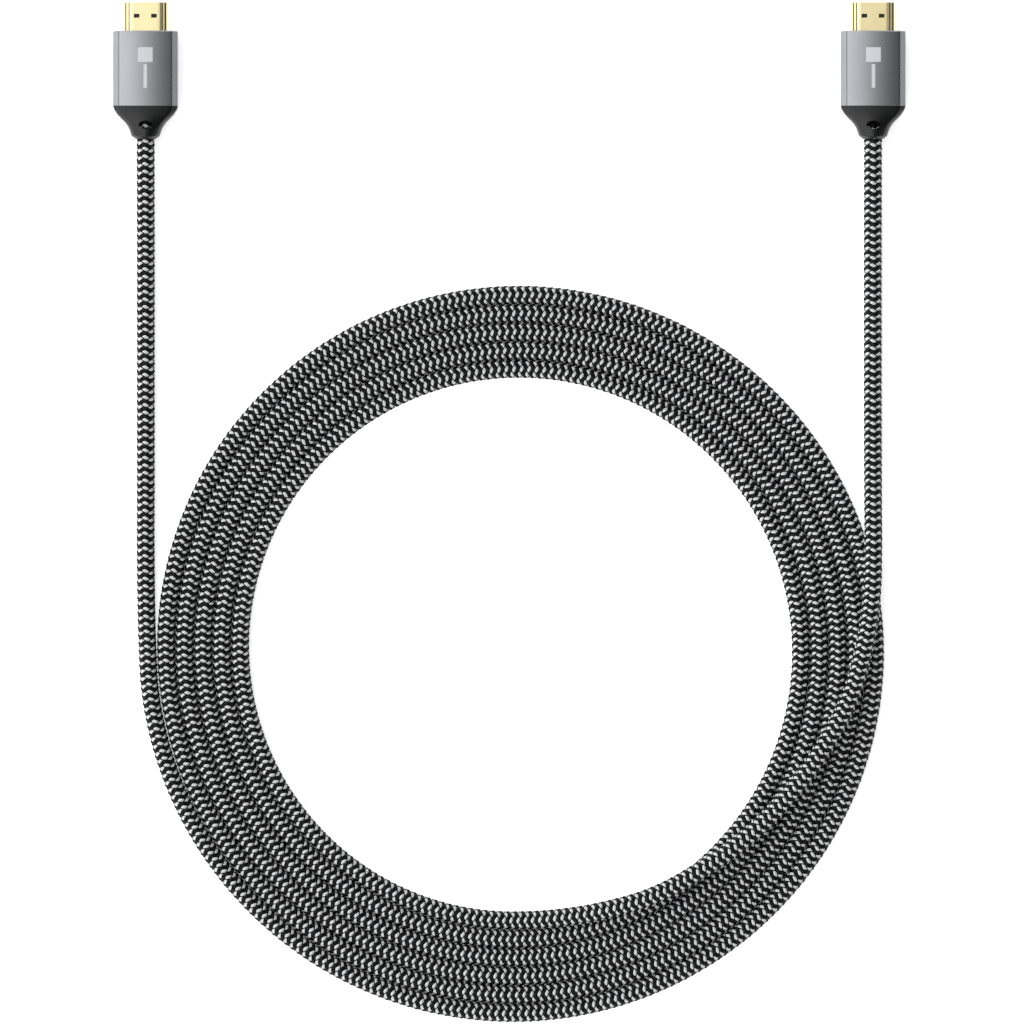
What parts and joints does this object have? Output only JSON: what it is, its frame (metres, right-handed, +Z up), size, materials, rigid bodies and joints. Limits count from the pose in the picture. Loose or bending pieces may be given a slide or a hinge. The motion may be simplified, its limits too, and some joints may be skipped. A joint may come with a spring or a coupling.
{
  "type": "braided video cable with two plugs",
  "caption": "Braided audio-video cable laid as a flat round coil, with a gold-shelled plug in a grey metal housing at each end.",
  "frame": {"origin": "on the floor midway between the two plugs", "axes": "+X from the left plug to the right plug, +Y towards the plug tips, +Z up"},
  "size_m": [0.2518, 0.3229, 0.0123],
  "materials": {
    "gold_plate": "gold plated, polished",
    "anodised_aluminium": "fine blasted, grey anodised, satin",
    "boot_plastic": "moulded, satin black",
    "insulator_plastic": "moulded, matte black",
    "braid": "braided black and light grey yarn"
  },
  "bodies": {
    "root": {"left_shell": "gold_plate", "left_insulator": "insulator_plastic", "left_lower_contact_1": "gold_plate", "left_lower_contact_2": "gold_plate", "left_lower_contact_3": "gold_plate", "left_lower_contact_4": "gold_plate", "left_lower_contact_5": "gold_plate", "left_lower_contact_6": "gold_plate", "left_lower_contact_7": "gold_plate", "left_lower_contact_8": "gold_plate", "left_lower_contact_9": "gold_plate", "left_lower_contact_10": "gold_plate", "left_upper_contact_1": "gold_plate", "left_upper_contact_2": "gold_plate", "left_upper_contact_3": "gold_plate", "left_upper_contact_4": "gold_plate", "left_upper_contact_5": "gold_plate", "left_upper_contact_6": "gold_plate", "left_upper_contact_7": "gold_plate", "left_upper_contact_8": "gold_plate", "left_upper_contact_9": "gold_plate", "left_housing": "anodised_aluminium", "left_boot": "boot_plastic", "right_shell": "gold_plate", "right_insulator": "insulator_plastic", "right_lower_contact_1": "gold_plate", "right_lower_contact_2": "gold_plate", "right_lower_contact_3": "gold_plate", "right_lower_contact_4": "gold_plate", "right_lower_contact_5": "gold_plate", "right_lower_contact_6": "gold_plate", "right_lower_contact_7": "gold_plate", "right_lower_contact_8": "gold_plate", "right_lower_contact_9": "gold_plate", "right_lower_contact_10": "gold_plate", "right_upper_contact_1": "gold_plate", "right_upper_contact_2": "gold_plate", "right_upper_contact_3": "gold_plate", "right_upper_contact_4": "gold_plate", "right_upper_contact_5": "gold_plate", "right_upper_contact_6": "gold_plate", "right_upper_contact_7": "gold_plate", "right_upper_contact_8": "gold_plate", "right_upper_contact_9": "gold_plate", "right_housing": "anodised_aluminium", "right_boot": "boot_plastic", "cord_left_lead": "braid", "cord_right_lead": "braid", "cord_coil": "braid"}
  },
  "joints": []
}
